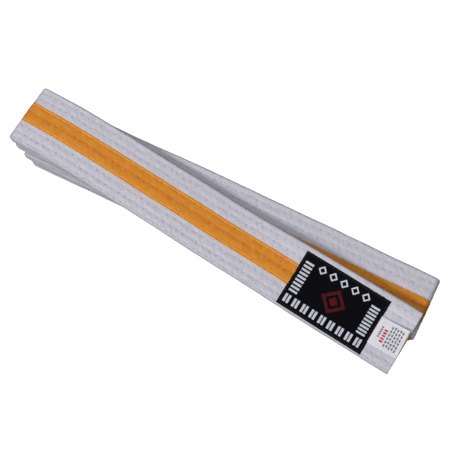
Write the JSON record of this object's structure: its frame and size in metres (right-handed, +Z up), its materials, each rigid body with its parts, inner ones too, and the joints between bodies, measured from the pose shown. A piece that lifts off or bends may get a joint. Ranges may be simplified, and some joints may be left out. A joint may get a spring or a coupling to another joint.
{
  "type": "martial arts belt",
  "caption": "Flat stitched cotton strap with a ribbon stripe on both faces, folded zig-zag into a bundle, with a woven label at its free end.",
  "frame": {"origin": "on the underside, below the middle of panel 2, at the centre of the flat rest face", "axes": "+X along the bundle towards the labelled free end, +Y across it, +Z up through the stack of panels"},
  "size_m": [0.3109, 0.0755, 0.0313],
  "materials": {
    "white_cotton": "matt cotton drill",
    "cotton_plies": "matt loose cotton",
    "orange_ribbon": "fine cotton ribbon with a slight sheen",
    "thread": "spun thread",
    "black_label": "woven satin label",
    "black_thread": "spun thread",
    "satin_label": "thin satin ribbon"
  },
  "bodies": {
    "panel_1": {"panel_1_back_ribbon": "orange_ribbon", "panel_1_cover": "white_cotton", "panel_1_face_ribbon": "orange_ribbon", "panel_1_inner_plies": "cotton_plies", "panel_1_stitching": "thread", "labelled_end_hem": "white_cotton", "woven_label": "black_label", "woven_label_seam": "black_thread", "size_label_sewn_end": "satin_label"},
    "panel_2": {"panel_2_back_ribbon": "orange_ribbon", "panel_2_cover": "white_cotton", "panel_2_face_ribbon": "orange_ribbon", "panel_2_inner_plies": "cotton_plies", "panel_2_stitching": "thread"},
    "panel_3": {"panel_3_back_ribbon": "orange_ribbon", "panel_3_cover": "white_cotton", "panel_3_face_ribbon": "orange_ribbon", "panel_3_inner_plies": "cotton_plies", "panel_3_stitching": "thread"},
    "panel_4": {"panel_4_back_ribbon": "orange_ribbon", "panel_4_cover": "white_cotton", "panel_4_face_ribbon": "orange_ribbon", "panel_4_inner_plies": "cotton_plies", "panel_4_stitching": "thread"},
    "panel_5": {"panel_5_back_ribbon": "orange_ribbon", "panel_5_cover": "white_cotton", "panel_5_face_ribbon": "orange_ribbon", "panel_5_inner_plies": "cotton_plies", "panel_5_stitching": "thread"},
    "panel_6": {"panel_6_back_ribbon": "orange_ribbon", "panel_6_cover": "white_cotton", "panel_6_face_ribbon": "orange_ribbon", "panel_6_inner_plies": "cotton_plies", "panel_6_stitching": "thread"},
    "panel_7": {"panel_7_back_ribbon": "orange_ribbon", "panel_7_cover": "white_cotton", "panel_7_face_ribbon": "orange_ribbon", "panel_7_inner_plies": "cotton_plies", "panel_7_stitching": "thread"},
    "panel_8": {"panel_8_back_ribbon": "orange_ribbon", "panel_8_cover": "white_cotton", "panel_8_face_ribbon": "orange_ribbon", "panel_8_inner_plies": "cotton_plies", "panel_8_stitching": "thread", "plain_end_hem": "white_cotton"},
    "size_label": {"size_label_flap": "satin_label"},
    "fold_1": {"fold_1": "white_cotton"},
    "fold_2": {"fold_2": "white_cotton"},
    "fold_3": {"fold_3": "white_cotton"},
    "fold_4": {"fold_4": "white_cotton"},
    "fold_5": {"fold_5": "white_cotton"},
    "fold_6": {"fold_6": "white_cotton"},
    "fold_7": {"fold_7": "white_cotton"}
  },
  "joints": [
    {"name": "fold_1_opens", "type": "hinge", "parent": "panel_2", "child": "fold_1", "pos_m": [-0.15266, 0.00008, 0.02562], "axis": [-0.0497, -0.9988, 0], "range_deg": [0, 90], "deforming": ["fold_1"]},
    {"name": "fold_1_unrolls", "type": "hinge", "parent": "fold_1", "child": "panel_1", "pos_m": [-0.15266, 0.00008, 0.02868], "axis": [-0.0497, -0.9988, 0], "range_deg": [0, 90], "deforming": ["fold_1"]},
    {"name": "fold_2_opens", "type": "hinge", "parent": "panel_3", "child": "fold_2", "pos_m": [0.15266, 0, 0.02172], "axis": [-0.0009, 1, 0], "range_deg": [0, 90], "deforming": ["fold_2"]},
    {"name": "fold_2_unrolls", "type": "hinge", "parent": "fold_2", "child": "panel_2", "pos_m": [0.15266, 0, 0.02478], "axis": [-0.0009, 1, 0], "range_deg": [0, 90], "deforming": ["fold_2"]},
    {"name": "fold_3_opens", "type": "hinge", "parent": "panel_4", "child": "fold_3", "pos_m": [-0.15016, -0.00053, 0.01782], "axis": [0.0026, -1, 0], "range_deg": [0, 90], "deforming": ["fold_3"]},
    {"name": "fold_3_unrolls", "type": "hinge", "parent": "fold_3", "child": "panel_3", "pos_m": [-0.15016, -0.00053, 0.02088], "axis": [0.0026, -1, 0], "range_deg": [0, 90], "deforming": ["fold_3"]},
    {"name": "fold_4_opens", "type": "hinge", "parent": "panel_5", "child": "fold_4", "pos_m": [0.15116, 0.00053, 0.01392], "axis": [-0.0061, 1, 0], "range_deg": [0, 90], "deforming": ["fold_4"]},
    {"name": "fold_4_unrolls", "type": "hinge", "parent": "fold_4", "child": "panel_4", "pos_m": [0.15116, 0.00053, 0.01698], "axis": [-0.0061, 1, 0], "range_deg": [0, 90], "deforming": ["fold_4"]},
    {"name": "fold_5_opens", "type": "hinge", "parent": "panel_6", "child": "fold_5", "pos_m": [-0.14415, -0.00204, 0.01002], "axis": [0.0061, -1, 0], "range_deg": [0, 90], "deforming": ["fold_5"]},
    {"name": "fold_5_unrolls", "type": "hinge", "parent": "fold_5", "child": "panel_5", "pos_m": [-0.14415, -0.00204, 0.01308], "axis": [0.0061, -1, 0], "range_deg": [0, 90], "deforming": ["fold_5"]},
    {"name": "fold_6_opens", "type": "hinge", "parent": "panel_7", "child": "fold_6", "pos_m": [0.14967, -0.00101, 0.00612], "axis": [-0.0035, 1, 0], "range_deg": [0, 90], "deforming": ["fold_6"]},
    {"name": "fold_6_unrolls", "type": "hinge", "parent": "fold_6", "child": "panel_6", "pos_m": [0.14967, -0.00101, 0.00918], "axis": [-0.0035, 1, 0], "range_deg": [0, 90], "deforming": ["fold_6"]},
    {"name": "fold_7_opens", "type": "hinge", "parent": "panel_8", "child": "fold_7", "pos_m": [-0.13915, -0.00202, 0.00222], "axis": [0.0044, -1, 0], "range_deg": [0, 90], "deforming": ["fold_7"]},
    {"name": "fold_7_unrolls", "type": "hinge", "parent": "fold_7", "child": "panel_7", "pos_m": [-0.13915, -0.00202, 0.00528], "axis": [0.0044, -1, 0], "range_deg": [0, 90], "deforming": ["fold_7"]},
    {"name": "size_label_lifts", "type": "hinge", "parent": "panel_1", "child": "size_label", "pos_m": [0.12962, -0.02923, 0.0314], "axis": [-0.0993, -0.9951, 0], "range_deg": [0, 170]}
  ]
}
